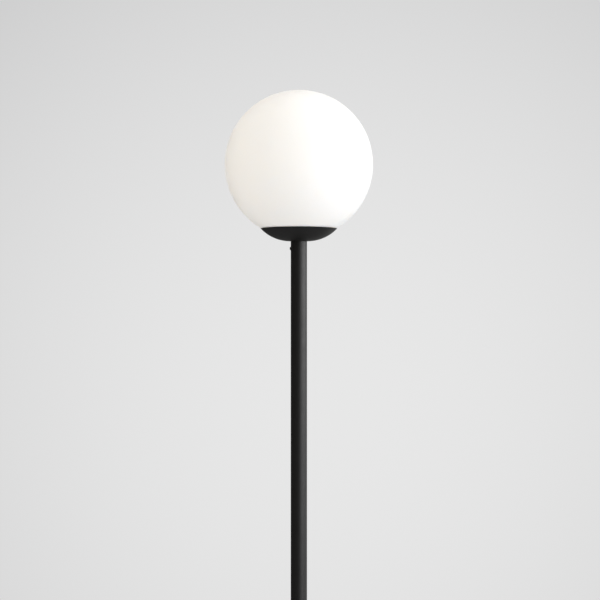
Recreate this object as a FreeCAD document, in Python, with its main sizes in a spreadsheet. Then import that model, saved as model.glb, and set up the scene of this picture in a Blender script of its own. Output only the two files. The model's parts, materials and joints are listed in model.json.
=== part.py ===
import FreeCAD, Part
import math
import os
import re
import Sketcher

# A floor lamp: an opal glass globe on a small spun dish, a straight tube and a round weighted base.
# Millimetres, +Z up. The origin is the centre of the base, on the floor.

doc = FreeCAD.newDocument("GlobeFloorLamp")
Vector = FreeCAD.Vector

driving_sizes = {
    # clearances
    "thread_gap": 0.05,
    "slip_gap": 0.1,
    "hole_gap": 0.3,
    "soft_gap": 0.3,
    # base: felt, cast weight and spun cover
    "felt_thickness": 2.0,
    "felt_inset": 1.0,
    "cover_radius": 130.0,
    "cover_top": 22.0,
    "cover_lift": 1.0,
    "cover_wall": 1.5,
    "cover_edge_radius": 5.0,
    "cover_crown": 1.5,
    "cover_flat_radius": 13.0,
    "weight_edge_gap": 1.5,
    "weight_top_gap": 0.4,
    "weight_bevel": 6.0,
    "weight_boss_radius": 12.5,
    "weight_web": 5.0,
    "nut_pocket_radius": 16.0,
    # lead inlet and terminal block in the base
    "inlet_height": 8.5,
    "inlet_radius": 3.3,
    "gland_wall": 0.8,
    "gland_flange_radius": 5.6,
    "gland_flange": 1.2,
    "gland_catch": 0.5,
    "gland_catch_length": 1.0,
    "gland_tail": 3.4,
    "inlet_channel_width": 14.0,
    "inlet_channel_top": 14.0,
    "block_width": 24.0,
    "block_depth": 18.0,
    "block_height": 11.0,
    "block_front": 60.0,
    "block_lift": 0.6,
    "block_pocket_gap": 2.0,
    "block_pitch": 10.0,
    "block_screw_pitch": 9.0,
    "block_corner": 1.0,
    "wire_channel_width": 18.0,
    "wire_channel_top": 10.5,
    "clamp_screw_radius": 1.85,
    "clamp_screw_sink": 0.6,
    "fixing_radius": 1.5,
    "fixing_head_radius": 2.8,
    "fixing_head": 0.5,
    "fixing_bite": 3.0,
    # hollow threaded rods, nuts and washer
    "nipple_radius": 5.0,
    "nipple_bore": 3.5,
    "nut_flats": 16.0,
    "nut_thickness": 3.5,
    "washer_radius": 14.0,
    "washer_thickness": 1.5,
    "base_nipple_reach": 15.0,
    "head_nipple_drop": 15.0,
    "head_nipple_reach": 7.0,
    # pole
    "pole_radius": 11.0,
    "pole_wall": 1.5,
    "pole_length": 1275.0,
    "pole_edge": 0.4,
    "foot_plug_length": 20.0,
    "spigot_length": 22.0,
    "set_screw_drop": 10.0,
    "set_screw_radius": 1.5,
    "set_screw_head_radius": 2.25,
    "set_screw_head": 1.5,
    "set_screw_length": 4.5,
    "set_screw_edge": 0.5,
    # dish that carries the globe
    "dish_rim_radius": 51.6,
    "dish_depth": 16.9,
    "dish_flat_radius": 12.5,
    "dish_wall": 1.5,
    "dish_rim_land": 0.5,
    "spacer_inset": 0.5,
    "spacer_thickness": 2.2,
    "plate_thickness": 1.2,
    "plate_edge_gap": 0.5,
    # glass globe, its seat and its spring clips
    "globe_radius": 100.0,
    "globe_wall": 3.0,
    "globe_mouth_radius": 42.0,
    "seat_inset": 0.2,
    "seat_mouth_inset": 0.75,
    "clip_width": 10.0,
    "clip_thickness": 0.6,
    "clip_foot": 6.0,
    "clip_foot_inset": 0.5,
    "clip_flat": 2.0,
    "clip_lead_in": 1.9,
    "clip_lead_height": 7.5,
    "clip_mouth_gap": 0.45,
    "clip_count": 3,
    "rivet_radius": 1.5,
    "rivet_head_radius": 2.0,
    "rivet_head": 0.7,
    "rivet_tail": 0.3,
    "rivet_inset": 3.0,
    # lampholder
    "holder_neck_radius": 9.0,
    "holder_radius": 20.0,
    "holder_shoulder": 16.0,
    "holder_curve_height": 10.0,
    "holder_collar_radius": 18.0,
    "holder_collar_top": 22.0,
    "holder_inner_radius": 16.0,
    "holder_floor": 2.0,
    "holder_boss_radius": 8.0,
    "holder_height": 50.0,
    "holder_lip": 3.5,
    "holder_lip_radius": 14.3,
    "holder_edge_radius": 1.5,
    "insert_bottom": 15.0,
    "insert_radius": 15.5,
    "insert_flange": 3.0,
    "insert_cup_radius": 14.0,
    "insert_cup_floor": 20.0,
    "shell_wall": 0.5,
    "shell_top_gap": 0.5,
    "cap_to_shell_gap": 0.2,
    "tongue_width": 6.0,
    "tongue_thickness": 0.5,
    "tongue_heel": 9.0,
    "tongue_bend": 4.0,
    "tongue_tip": 4.0,
    "tongue_rise": 1.0,
    "holder_wire_spread": 8.0,
    "holder_wire_depth": 4.0,
    "holder_screw_radius": 1.5,
    "holder_screw_height": 2.5,
    # bulb
    "bulb_radius": 30.0,
    "bulb_length": 108.0,
    "bulb_wall": 1.0,
    "bulb_split_drop": 18.0,
    "bulb_neck_radius": 13.4,
    "cap_radius": 13.1,
    "cap_length": 27.0,
    "cap_wall": 0.5,
    "cap_seat_depth": 26.0,
    "cap_mouth_radius": 8.3,
    "cap_cone": 3.0,
    "contact_height": 2.0,
    "contact_radius": 5.0,
    "contact_inside": 1.0,
    "board_thickness": 1.6,
    "board_radius": 21.0,
    "housing_cap_gap": 0.6,
    # wires between the terminal block and the lampholder
    "wire_radius": 1.0,
    "wire_pitch": 2.6,
    "wire_bend": 4.0,
    "wire_top_bend": 5.0,
    "wire_side_bend": 20.0,
    "wire_entry": 6.0,
    "wire_straight": 8.0,
    "wire_top_rise": 0.9,
    "wire_end_drop": 2.6,
}

sizes = doc.addObject("Spreadsheet::Sheet", "Sizes")
for row, (name, value) in enumerate(driving_sizes.items(), start=1):
    sizes.set(f"A{row}", str(value))
    sizes.setAlias(f"A{row}", name)
doc.recompute()

places = doc.addObject("App::VarSet", "Places")


def bound(text):
    # Names of sizes and places become references to the sheet and to the set of places.
    def owner(match):
        name = match.group(0)
        if name in driving_sizes:
            return "Sizes." + name
        if name in places.PropertiesList:
            return "Places." + name
        return name
    return re.sub(r"[a-z][a-z_]+", owner, text)


def derive(name, text):
    places.addProperty("App::PropertyFloat", name)
    places.setExpression(name, bound(text))


def amount(text):
    # A sum of names, such as "pole_radius - pole_wall", as a number.
    total = 0.0
    sign = 1
    for word in text.split():
        if word in "+-":
            sign = 1 if word == "+" else -1
        elif word in driving_sizes:
            total += sign * sizes.get(word)
        elif word != "0":
            total += sign * getattr(places, word)
    return total


# Places in the base, all measured up from the floor.
derive("weight_radius", "cover_radius - cover_wall - weight_edge_gap")
derive("cover_shoulder", "cover_top - cover_crown")
derive("weight_top", "cover_shoulder - cover_wall - weight_top_gap")
derive("weight_web_bottom", "cover_top - cover_wall - weight_web")
derive("base_nut_top", "weight_web_bottom - washer_thickness")
derive("base_nipple_bottom", "base_nut_top - nut_thickness")
derive("block_bottom", "felt_thickness + block_lift")
derive("block_top", "block_bottom + block_height")
derive("wire_height", "base_nipple_bottom - wire_bend")
derive("block_middle", "block_front + block_depth / 2")
derive("half_block_width", "block_width / 2")
derive("half_block_depth", "block_depth / 2")
derive("half_block_pitch", "block_pitch / 2")
derive("half_screw_pitch", "block_screw_pitch / 2")
derive("half_wire_channel", "wire_channel_width / 2")
derive("half_inlet_channel", "inlet_channel_width / 2")
derive("gland_radius", "inlet_radius + gland_wall")
derive("wire_hole_radius", "wire_radius + slip_gap")
derive("half_nut_flats", "nut_flats / 2")
derive("half_nut_side", "nut_flats / 2 * tan(30 deg)")
derive("nut_corner", "nut_flats / 2 / cos(30 deg)")

# Places on the head. The dish sits on the end of the pole and everything stacks on it.
derive("pole_inside", "pole_radius - pole_wall")
derive("plug_radius", "pole_inside - slip_gap")
derive("pole_top", "cover_top + pole_length")
derive("set_screw_height", "pole_top - set_screw_drop")
derive("dish_curve", "((dish_rim_radius - dish_flat_radius)^2 + dish_depth^2) / (2 * dish_depth)")
derive("dish_inner_curve", "dish_curve - dish_wall")
derive("dish_rim_inside", "dish_flat_radius + sqrt(dish_inner_curve^2 - (dish_curve - dish_depth)^2)")
derive("globe_seat_sphere", "globe_radius + soft_gap")
derive("globe_rise", "dish_depth + sqrt(globe_seat_sphere^2 - (dish_rim_radius - dish_rim_land)^2)")
derive("globe_centre", "pole_top + globe_rise")
derive("globe_mouth_drop", "sqrt(globe_radius^2 - globe_mouth_radius^2)")
derive("globe_inside", "globe_radius - globe_wall")
derive("globe_throat", "sqrt(globe_inside^2 - globe_mouth_drop^2)")
derive("mouth_height", "globe_rise - globe_mouth_drop")
derive("seat_inner", "globe_throat + seat_mouth_inset")
derive("seat_outer", "globe_mouth_radius - seat_inset")
derive("seat_curve", "dish_inner_curve - slip_gap")
derive("seat_low_inside", "dish_curve - sqrt(seat_curve^2 - (seat_inner - dish_flat_radius)^2)")
derive("seat_low_outside", "dish_curve - sqrt(seat_curve^2 - (seat_outer - dish_flat_radius)^2)")
derive("plate_bottom", "dish_wall + spacer_thickness")
derive("plate_top", "plate_bottom + plate_thickness")
derive("plate_reach", "sqrt(dish_inner_curve^2 - (dish_curve - plate_bottom)^2)")
derive("plate_radius", "dish_flat_radius + plate_reach - plate_edge_gap")
derive("clip_foot_end", "plate_radius - clip_foot_inset")
derive("clip_foot_start", "clip_foot_end - clip_foot")
derive("clip_face", "sqrt((globe_throat - clip_mouth_gap)^2 - (clip_width / 2)^2)")
derive("clip_heel", "clip_foot_end - clip_thickness / 2")
derive("clip_face_low", "mouth_height + clip_thickness")
derive("rivet_circle", "clip_foot_end - rivet_inset")
derive("head_nut_top", "plate_top + nut_thickness")
derive("holder_place", "pole_top + head_nut_top")

# Places in the lampholder and the bulb, measured up from the lampholder's lower end.
derive("holder_curve_out", "holder_radius - holder_neck_radius")
derive("holder_curve", "(holder_curve_out^2 + holder_curve_height^2) / (2 * holder_curve_height)")
derive("insert_top", "holder_collar_top + insert_flange")
derive("shell_inside", "cap_radius + cap_to_shell_gap")
derive("bulb_place", "holder_height - cap_seat_depth")
derive("shell_top", "holder_height - holder_lip - shell_top_gap")
derive("tongue_top", "bulb_place - soft_gap")
derive("holder_screw_place", "insert_bottom + holder_screw_height")
derive("terminal_hole_radius", "holder_screw_radius + thread_gap")

# Places in the bulb, measured up from the tip of its contact.
derive("bulb_centre", "bulb_length - bulb_radius")
derive("bulb_split", "bulb_centre - bulb_split_drop")
derive("bulb_split_radius", "sqrt(bulb_radius^2 - bulb_split_drop^2)")
derive("bulb_inside", "bulb_radius - bulb_wall")
derive("bulb_split_inside", "sqrt(bulb_inside^2 - bulb_split_drop^2)")
derive("neck_out", "bulb_split_radius - bulb_neck_radius")
derive("neck_up", "bulb_split - cap_length")
derive("neck_turn", "(neck_up * bulb_split_drop - neck_out * bulb_split_radius) / bulb_radius")
derive("neck_curve", "(neck_out^2 + neck_up^2) / (2 * neck_turn)")
derive("housing_bottom", "contact_height + cap_cone + housing_cap_gap")
doc.recompute()


def new_body(label, height="0", forward="0"):
    body = doc.addObject("PartDesign::Body", label)
    body.Label = label
    body.setExpression("Placement.Base.z", bound(height))
    body.setExpression("Placement.Base.y", bound(forward))
    return body


def datum(body, role):
    for item in body.Origin.OriginFeatures:
        if item.Role == role:
            return item


def new_sketch(body, name, role, lift="0"):
    sketch = body.newObject("Sketcher::SketchObject", name)
    sketch.AttachmentSupport = (datum(body, role), [""])
    sketch.MapMode = "FlatFace"
    sketch.setExpression("AttachmentOffset.Base.z", bound(lift))
    return sketch


def pin_point(sketch, edge, end, across, along):
    # Fixes one end of an edge at a pair of named coordinates.
    for kind, axis, text in (("DistanceX", -2, across), ("DistanceY", -1, along)):
        if text == "0":
            sketch.addConstraint(Sketcher.Constraint("PointOnObject", edge, end, axis))
            continue
        place = Sketcher.Constraint(kind, -1, 1, edge, end, amount(text))
        sketch.setExpression(f"Constraints[{sketch.addConstraint(place)}]", bound(text))


def arc_edge(first, last, radius, turn):
    # The arc of that radius from first to last that bends left or right by less than half a circle.
    chord = last - first
    side = 1 if turn == "left" else -1
    across = Vector(-chord.y, chord.x, 0).normalize() * side
    middle = (first + last) * 0.5
    reach = math.sqrt(radius ** 2 - (chord.Length / 2) ** 2)
    return Part.Arc(first, middle + across * (reach - radius), last)


def draw_outline(body, name, role, points, lift="0"):
    # Points are (across, along) and the edge to the next point is a line, or (across, along,
    # radius, turn) where it is an arc. Each coordinate is a sum of named sizes.
    sketch = new_sketch(body, name, role, lift)
    count = len(points)
    spots = [Vector(amount(point[0]), amount(point[1]), 0) for point in points]
    ends = []
    for number, point in enumerate(points):
        first = spots[number]
        last = spots[(number + 1) % count]
        if len(point) == 2:
            sketch.addGeometry(Part.LineSegment(first, last), False)
            ends.append((1, 2))
        else:
            sketch.addGeometry(arc_edge(first, last, amount(point[2]), point[3]), False)
            ends.append((1, 2) if point[3] == "left" else (2, 1))
    for number, point in enumerate(points):
        following = (number + 1) % count
        joined = Sketcher.Constraint("Coincident", number, ends[number][1], following, ends[following][0])
        sketch.addConstraint(joined)
        pin_point(sketch, number, ends[number][0], point[0], point[1])
        if len(point) > 2:
            bend = Sketcher.Constraint("Radius", number, amount(point[2]))
            sketch.setExpression(f"Constraints[{sketch.addConstraint(bend)}]", bound(point[2]))
    return sketch


def draw_circles(body, name, role, circles, lift="0"):
    # Circles are (across, along, radius).
    sketch = new_sketch(body, name, role, lift)
    for number, (across, along, radius) in enumerate(circles):
        centre = Vector(amount(across), amount(along), 0)
        sketch.addGeometry(Part.Circle(centre, Vector(0, 0, 1), amount(radius)), False)
        pin_point(sketch, number, 3, across, along)
        size = Sketcher.Constraint("Radius", number, amount(radius))
        sketch.setExpression(f"Constraints[{sketch.addConstraint(size)}]", bound(radius))
    return sketch


def finish_feature(body, feature, cuts=False):
    # A cut that points away from the solid removes nothing and shows no error.
    before = body.Shape.Volume if cuts else 0
    body.Tip = feature
    doc.recompute()
    if cuts and body.Shape.Volume > before - 1e-6:
        raise RuntimeError(f"{feature.Label} in {body.Label} cuts nothing")
    return feature


def turn_outline(body, name, points, cuts=False):
    # A solid of revolution about the body's Z axis, or a groove, from an outline in its XZ plane.
    sketch = draw_outline(body, name + "_outline", "XZ_Plane", points)
    feature = body.newObject("PartDesign::" + ("Groove" if cuts else "Revolution"), name)
    feature.Profile = sketch
    feature.ReferenceAxis = (sketch, ["V_Axis"])
    feature.Angle = 360
    return finish_feature(body, feature, cuts)


def pad(body, name, sketch, length, both_ways=False, downward=False):
    feature = body.newObject("PartDesign::Pad", name)
    feature.Profile = sketch
    feature.setExpression("Length", bound(length))
    feature.Midplane = both_ways
    feature.Reversed = downward
    return finish_feature(body, feature)


def pocket(body, name, sketch, length, along_normal=False, both_ways=False):
    feature = body.newObject("PartDesign::Pocket", name)
    feature.Profile = sketch
    feature.setExpression("Length", bound(length))
    feature.Midplane = both_ways
    feature.Reversed = along_normal
    return finish_feature(body, feature, cuts=True)


def repeat_around(body, name, feature, count):
    pattern = body.newObject("PartDesign::PolarPattern", name)
    pattern.Originals = [feature]
    pattern.Axis = (datum(body, "Z_Axis"), [""])
    pattern.Angle = 360
    pattern.setExpression("Occurrences", bound(count))
    return finish_feature(body, pattern)


def soften(body, name, kind, radius, wanted):
    # A fillet or chamfer on the edges that the test picks.
    base = body.Tip
    chosen = [f"Edge{number}" for number, edge in enumerate(base.Shape.Edges, start=1) if wanted(edge)]
    feature = body.newObject("PartDesign::" + kind, name)
    feature.Base = (base, chosen)
    feature.setExpression("Radius" if kind == "Fillet" else "Size", bound(radius))
    return finish_feature(body, feature)


def ring_at(height, radius):
    # Picks the full circles at one height and radius.
    def wanted(edge):
        curve = edge.Curve
        if not hasattr(curve, "Radius") or not hasattr(curve, "Center"):
            return False
        same_height = abs(curve.Center.z - height) < 1e-4
        return same_height and abs(curve.Radius - radius) < 1e-4
    return wanted


def upright(edge):
    low = edge.BoundBox
    return low.XLength < 1e-4 and low.YLength < 1e-4


# ---- base ----

def make_felt():
    body = new_body("base_felt")
    disc = draw_circles(body, "felt_disc", "XY_Plane", [("0", "0", "weight_radius - felt_inset")])
    pad(body, "felt", disc, "felt_thickness")


def make_weight():
    # Cast disc with a boss that meets the cover, a nut pocket, and channels for the wires and the lead.
    body = new_body("base_weight")
    turn_outline(body, "casting", [
        ("nut_pocket_radius", "felt_thickness"),
        ("weight_radius", "felt_thickness"),
        ("weight_radius", "weight_top - weight_bevel"),
        ("weight_radius - weight_bevel", "weight_top"),
        ("weight_boss_radius", "weight_top"),
        ("weight_boss_radius", "cover_top - cover_wall"),
        ("nipple_radius + hole_gap", "cover_top - cover_wall"),
        ("nipple_radius + hole_gap", "weight_web_bottom"),
        ("nut_pocket_radius", "weight_web_bottom"),
    ])
    block_room = draw_outline(body, "block_room", "XY_Plane", [
        ("0 - half_block_width - block_pocket_gap", "block_front - block_pocket_gap"),
        ("half_block_width + block_pocket_gap", "block_front - block_pocket_gap"),
        ("half_block_width + block_pocket_gap", "block_front + block_depth + block_pocket_gap"),
        ("0 - half_block_width - block_pocket_gap", "block_front + block_depth + block_pocket_gap"),
    ])
    pocket(body, "block_pocket", block_room, "block_top", along_normal=True)
    wire_room = draw_outline(body, "wire_room", "XY_Plane", [
        ("0 - half_wire_channel", "0"),
        ("half_wire_channel", "0"),
        ("half_wire_channel", "block_middle"),
        ("0 - half_wire_channel", "block_middle"),
    ])
    pocket(body, "wire_channel", wire_room, "wire_channel_top", along_normal=True)
    inlet_room = draw_outline(body, "inlet_room", "XY_Plane", [
        ("0 - half_inlet_channel", "block_middle"),
        ("half_inlet_channel", "block_middle"),
        ("half_inlet_channel", "cover_radius"),
        ("0 - half_inlet_channel", "cover_radius"),
    ])
    pocket(body, "inlet_channel", inlet_room, "inlet_channel_top", along_normal=True)
    screw_hole = draw_circles(body, "screw_hole", "XY_Plane",
                              [("0", "block_middle", "fixing_radius + thread_gap")])
    pocket(body, "block_fixing", screw_hole, "block_top + fixing_bite + hole_gap", along_normal=True)


def make_cover():
    body = new_body("base_cover")
    turn_outline(body, "spun_shell", [
        ("cover_radius - cover_wall", "cover_lift"),
        ("cover_radius", "cover_lift"),
        ("cover_radius", "cover_shoulder - cover_edge_radius", "cover_edge_radius", "left"),
        ("cover_radius - cover_edge_radius", "cover_shoulder"),
        ("cover_flat_radius", "cover_top"),
        ("nipple_radius + hole_gap", "cover_top"),
        ("nipple_radius + hole_gap", "cover_top - cover_wall"),
        ("cover_flat_radius", "cover_top - cover_wall"),
        ("cover_radius - cover_edge_radius", "cover_shoulder - cover_wall",
         "cover_edge_radius - cover_wall", "right"),
        ("cover_radius - cover_wall", "cover_shoulder - cover_edge_radius"),
    ])
    hole = draw_circles(body, "inlet_hole", "XZ_Plane", [("0", "inlet_height", "gland_radius + slip_gap")])
    pocket(body, "inlet", hole, "cover_radius + cover_wall")


def make_gland():
    # A snap bush with its axis along +Y. It is turned about its own Z axis.
    body = new_body("lead_gland", "inlet_height", "cover_radius")
    body.Placement.Rotation = FreeCAD.Rotation(Vector(1, 0, 0), -90)
    turn_outline(body, "bush", [
        ("inlet_radius", "0 - cover_wall - slip_gap - gland_tail"),
        ("gland_radius", "0 - cover_wall - slip_gap - gland_tail"),
        ("gland_radius + gland_catch", "0 - cover_wall - slip_gap - gland_catch_length"),
        ("gland_radius + gland_catch", "0 - cover_wall - slip_gap"),
        ("gland_radius", "0 - cover_wall - slip_gap"),
        ("gland_radius", "0"),
        ("gland_flange_radius", "0"),
        ("gland_flange_radius", "gland_flange"),
        ("inlet_radius", "gland_flange"),
    ])
    rim = ring_at(amount("gland_flange"), amount("gland_flange_radius"))
    soften(body, "flange_edge", "Fillet", "gland_catch", rim)


def make_washer():
    body = new_body("base_washer", "base_nut_top")
    rings = draw_circles(body, "washer_rings", "XY_Plane",
                         [("0", "0", "washer_radius"), ("0", "0", "nipple_radius + hole_gap")])
    pad(body, "washer", rings, "washer_thickness")


def make_nut(label, height):
    # A thin hexagon nut. A 30 degree cone trims its corners on both faces.
    body = new_body(label, height)
    hexagon = draw_outline(body, "hexagon", "XY_Plane", [
        ("0 - half_nut_side", "0 - half_nut_flats"),
        ("half_nut_side", "0 - half_nut_flats"),
        ("nut_corner", "0"),
        ("half_nut_side", "half_nut_flats"),
        ("0 - half_nut_side", "half_nut_flats"),
        ("0 - nut_corner", "0"),
    ])
    pad(body, "blank", hexagon, "nut_thickness")
    thread = draw_circles(body, "thread_circle", "XY_Plane", [("0", "0", "nipple_radius + thread_gap")])
    pocket(body, "thread", thread, "nut_thickness", along_normal=True)
    for name, face, far in (("upper_trim", "nut_thickness", "nut_thickness - half_nut_side"),
                            ("lower_trim", "0", "half_nut_side")):
        cone = [("half_nut_flats", face), ("nut_flats", face), ("nut_flats", far)]
        turn_outline(body, name, cone, cuts=True)


def make_nipple(label, bottom, length):
    body = new_body(label, bottom)
    rings = draw_circles(body, "rod_rings", "XY_Plane",
                         [("0", "0", "nipple_radius"), ("0", "0", "nipple_bore")])
    pad(body, "rod", rings, length)


def make_terminal_block():
    # Two poles side by side. Wires go in along Y and clamp screws come from below.
    body = new_body("terminal_block", "block_bottom", "block_middle")
    outline = draw_outline(body, "block_outline", "XY_Plane", [
        ("0 - half_block_width", "0 - half_block_depth"),
        ("half_block_width", "0 - half_block_depth"),
        ("half_block_width", "half_block_depth"),
        ("0 - half_block_width", "half_block_depth"),
    ])
    pad(body, "block", outline, "block_height")
    soften(body, "block_corners", "Fillet", "block_corner", upright)
    ways = draw_circles(body, "wire_ways", "XZ_Plane", [
        ("half_block_pitch", "wire_height - block_bottom", "wire_hole_radius"),
        ("0 - half_block_pitch", "wire_height - block_bottom", "wire_hole_radius"),
    ])
    pocket(body, "wire_holes", ways, "block_depth + block_depth", both_ways=True)
    clamps = draw_circles(body, "clamp_ways", "XY_Plane", [
        (across, along, "clamp_screw_radius + thread_gap")
        for across in ("half_block_pitch", "0 - half_block_pitch")
        for along in ("half_screw_pitch", "0 - half_screw_pitch")
    ])
    pocket(body, "clamp_holes", clamps, "wire_height - block_bottom", along_normal=True)
    fixing = draw_circles(body, "fixing_way", "XY_Plane", [("0", "0", "fixing_radius + slip_gap")])
    pocket(body, "fixing_hole", fixing, "block_height", along_normal=True)


def make_block_clamp_screws():
    body = new_body("block_clamp_screws", "block_bottom", "block_middle")
    spots = draw_circles(body, "clamp_spots", "XY_Plane", [
        (across, along, "clamp_screw_radius")
        for across in ("half_block_pitch", "0 - half_block_pitch")
        for along in ("half_screw_pitch", "0 - half_screw_pitch")
    ], "clamp_screw_sink")
    pad(body, "clamp_screws", spots, "wire_height - block_bottom - wire_radius - clamp_screw_sink")


def make_block_screw():
    # Holds the terminal block up against the roof of its pocket.
    body = new_body("block_screw", "block_bottom", "block_middle")
    turn_outline(body, "screw", [
        ("0", "0 - fixing_head"),
        ("fixing_head_radius", "0 - fixing_head"),
        ("fixing_head_radius", "0"),
        ("fixing_radius", "0"),
        ("fixing_radius", "block_height + fixing_bite"),
        ("0", "block_height + fixing_bite"),
    ])


# ---- pole ----

def make_pole():
    body = new_body("pole", "cover_top")
    rings = draw_circles(body, "tube_rings", "XY_Plane",
                         [("0", "0", "pole_radius"), ("0", "0", "pole_inside")])
    pad(body, "tube", rings, "pole_length")
    way = draw_circles(body, "set_screw_way", "YZ_Plane",
                       [("0", "pole_length - set_screw_drop", "set_screw_radius + hole_gap")])
    pocket(body, "set_screw_hole", way, "pole_radius")
    for name, height in (("upper_edge", "pole_length"), ("lower_edge", "0")):
        soften(body, name, "Chamfer", "pole_edge", ring_at(amount(height), amount("pole_radius")))


def make_plug(label, height, length):
    body = new_body(label, height)
    rings = draw_circles(body, "plug_rings", "XY_Plane",
                         [("0", "0", "plug_radius"), ("0", "0", "nipple_radius + thread_gap")])
    pad(body, "plug", rings, length)
    return body


def make_spigot():
    body = make_plug("pole_spigot", "pole_top - spigot_length", "spigot_length")
    way = draw_circles(body, "set_screw_way", "YZ_Plane",
                       [("0", "spigot_length - set_screw_drop", "set_screw_radius + thread_gap")])
    pocket(body, "set_screw_thread", way, "pole_radius")


def make_set_screw():
    # Turned about its own Z axis and laid along -X, with its head outside the tube.
    body = new_body("set_screw", "set_screw_height")
    body.setExpression("Placement.Base.x", bound("0 - pole_radius"))
    body.Placement.Rotation = FreeCAD.Rotation(Vector(0, 1, 0), -90)
    turn_outline(body, "screw", [
        ("0", "0 - set_screw_length"),
        ("set_screw_radius", "0 - set_screw_length"),
        ("set_screw_radius", "0"),
        ("set_screw_head_radius", "0"),
        ("set_screw_head_radius", "set_screw_head"),
        ("0", "set_screw_head"),
    ])
    rim = ring_at(amount("set_screw_head"), amount("set_screw_head_radius"))
    soften(body, "head_edge", "Fillet", "set_screw_edge", rim)


# ---- dish ----

def make_dish():
    # A flat seat on the pole, then one long curve up to a rim that follows the globe.
    body = new_body("shade_dish", "pole_top")
    turn_outline(body, "spun_bowl", [
        ("nipple_radius + hole_gap", "0"),
        ("dish_flat_radius", "0", "dish_curve", "left"),
        ("dish_rim_radius", "dish_depth"),
        ("dish_rim_inside", "dish_depth", "dish_inner_curve", "right"),
        ("dish_flat_radius", "dish_wall"),
        ("nipple_radius + hole_gap", "dish_wall"),
    ])
    bevel = body.newObject("PartDesign::SubtractiveSphere", "rim_bevel")
    bevel.setExpression("Radius", bound("globe_seat_sphere"))
    bevel.setExpression("Placement.Base.z", bound("globe_rise"))
    finish_feature(body, bevel, cuts=True)


def make_spacer():
    body = new_body("dish_spacer", "pole_top + dish_wall")
    rings = draw_circles(body, "spacer_rings", "XY_Plane", [
        ("0", "0", "dish_flat_radius - spacer_inset"),
        ("0", "0", "nipple_radius + hole_gap"),
    ])
    pad(body, "spacer", rings, "spacer_thickness")


def make_clip_plate():
    body = new_body("clip_plate", "pole_top + plate_bottom")
    rings = draw_circles(body, "plate_rings", "XY_Plane",
                         [("0", "0", "plate_radius"), ("0", "0", "nipple_radius + hole_gap")])
    pad(body, "plate", rings, "plate_thickness")
    hole = draw_circles(body, "rivet_way", "XY_Plane", [("rivet_circle", "0", "rivet_radius + slip_gap")])
    first = pocket(body, "rivet_hole", hole, "plate_thickness", along_normal=True)
    repeat_around(body, "rivet_holes", first, "clip_count")


def make_spring_clips():
    # Bent strips that stand on the plate and press on the inside of the globe's mouth.
    body = new_body("spring_clips", "pole_top")
    strip = draw_outline(body, "strip", "XZ_Plane", [
        ("clip_foot_start", "plate_top"),
        ("clip_foot_end", "plate_top"),
        ("clip_face", "clip_face_low"),
        ("clip_face", "clip_face_low + clip_flat"),
        ("clip_face - clip_lead_in", "clip_face_low + clip_flat + clip_lead_height"),
        ("clip_face - clip_lead_in - clip_thickness", "clip_face_low + clip_flat + clip_lead_height"),
        ("clip_face - clip_thickness", "clip_face_low + clip_flat"),
        ("clip_face - clip_thickness", "clip_face_low"),
        ("clip_heel", "plate_top + clip_thickness"),
        ("clip_foot_start", "plate_top + clip_thickness"),
    ])
    bent = pad(body, "bent_strip", strip, "clip_width", both_ways=True)
    way = draw_circles(body, "rivet_way", "XY_Plane", [("rivet_circle", "0", "rivet_radius + slip_gap")])
    hole = pocket(body, "rivet_hole", way, "plate_top + clip_thickness", along_normal=True)
    pattern = repeat_around(body, "clips", bent, "clip_count")
    pattern.Originals = [bent, hole]
    doc.recompute()


def make_rivets():
    body = new_body("clip_rivets", "pole_top")
    shank = draw_circles(body, "shank", "XY_Plane", [("rivet_circle", "0", "rivet_radius")],
                         "plate_bottom - rivet_tail")
    stem = pad(body, "stem", shank, "rivet_tail + plate_thickness + clip_thickness + rivet_head")
    head = draw_circles(body, "head_circle", "XY_Plane", [("rivet_circle", "0", "rivet_head_radius")],
                        "plate_top + clip_thickness")
    cap = pad(body, "head", head, "rivet_head")
    tail = draw_circles(body, "tail_circle", "XY_Plane", [("rivet_circle", "0", "rivet_head_radius")],
                        "plate_bottom - rivet_tail")
    foot = pad(body, "tail", tail, "rivet_tail")
    pattern = repeat_around(body, "rivets", stem, "clip_count")
    pattern.Originals = [stem, cap, foot]
    doc.recompute()


def make_seat_ring():
    # A soft wedge that fills the space between the bowl and the flat mouth of the globe.
    body = new_body("globe_seat_ring", "pole_top")
    turn_outline(body, "seat", [
        ("seat_inner", "seat_low_inside", "seat_curve", "left"),
        ("seat_outer", "seat_low_outside"),
        ("seat_outer", "mouth_height - soft_gap"),
        ("seat_inner", "mouth_height - soft_gap"),
    ])


def make_globe():
    # Blown opal glass, cut flat at the mouth.
    body = new_body("globe", "globe_centre")
    turn_outline(body, "blown_shell", [
        ("globe_mouth_radius", "0 - globe_mouth_drop", "globe_radius", "left"),
        ("0", "globe_radius"),
        ("0", "globe_inside", "globe_inside", "right"),
        ("globe_throat", "0 - globe_mouth_drop"),
    ])


# ---- lampholder ----

def make_holder_dome():
    body = new_body("holder_dome", "holder_place")
    turn_outline(body, "moulded_dome", [
        ("nipple_radius + thread_gap", "0"),
        ("holder_neck_radius", "0", "holder_curve", "left"),
        ("holder_radius", "holder_curve_height"),
        ("holder_radius", "holder_shoulder"),
        ("holder_collar_radius", "holder_shoulder"),
        ("holder_collar_radius", "holder_collar_top"),
        ("holder_inner_radius", "holder_collar_top"),
        ("holder_inner_radius", "holder_curve_height"),
        ("holder_neck_radius", "holder_floor"),
        ("holder_boss_radius", "holder_floor"),
        ("holder_boss_radius", "head_nipple_reach"),
        ("nipple_radius + thread_gap", "head_nipple_reach"),
    ])


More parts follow.
